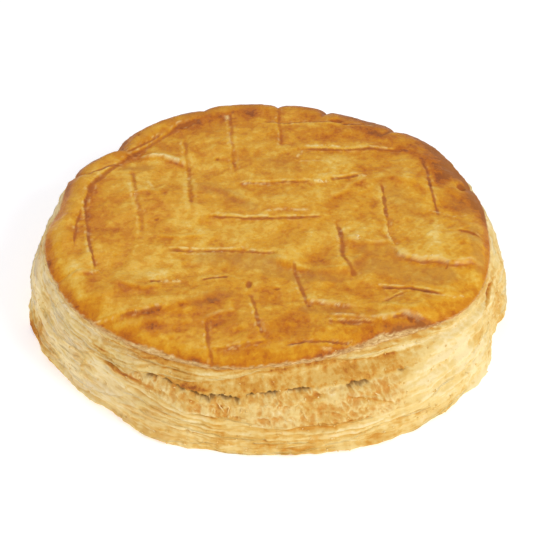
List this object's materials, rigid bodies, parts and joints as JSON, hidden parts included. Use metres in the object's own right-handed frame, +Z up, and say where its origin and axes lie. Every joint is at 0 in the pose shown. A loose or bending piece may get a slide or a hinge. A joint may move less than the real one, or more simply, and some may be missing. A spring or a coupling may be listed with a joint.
{
  "type": "galette des rois",
  "caption": "Round low cake of puff pastry with a golden glazed crust scored in a herringbone and a pale flaky side that has split open, baked whole and uncut",
  "frame": {"origin": "on the table, under the middle of the cake's bounding box", "axes": "+Z is up out of the scored crust; the picture was taken from the -Y side, where the side has split; +X is to the right there"},
  "size_m": [0.2196, 0.2236, 0.0399],
  "materials": {
    "baked_pastry": "satin egg-washed golden crust over pale dry flaky layers"
  },
  "bodies": {
    "root": {"galette": "baked_pastry"}
  },
  "joints": []
}
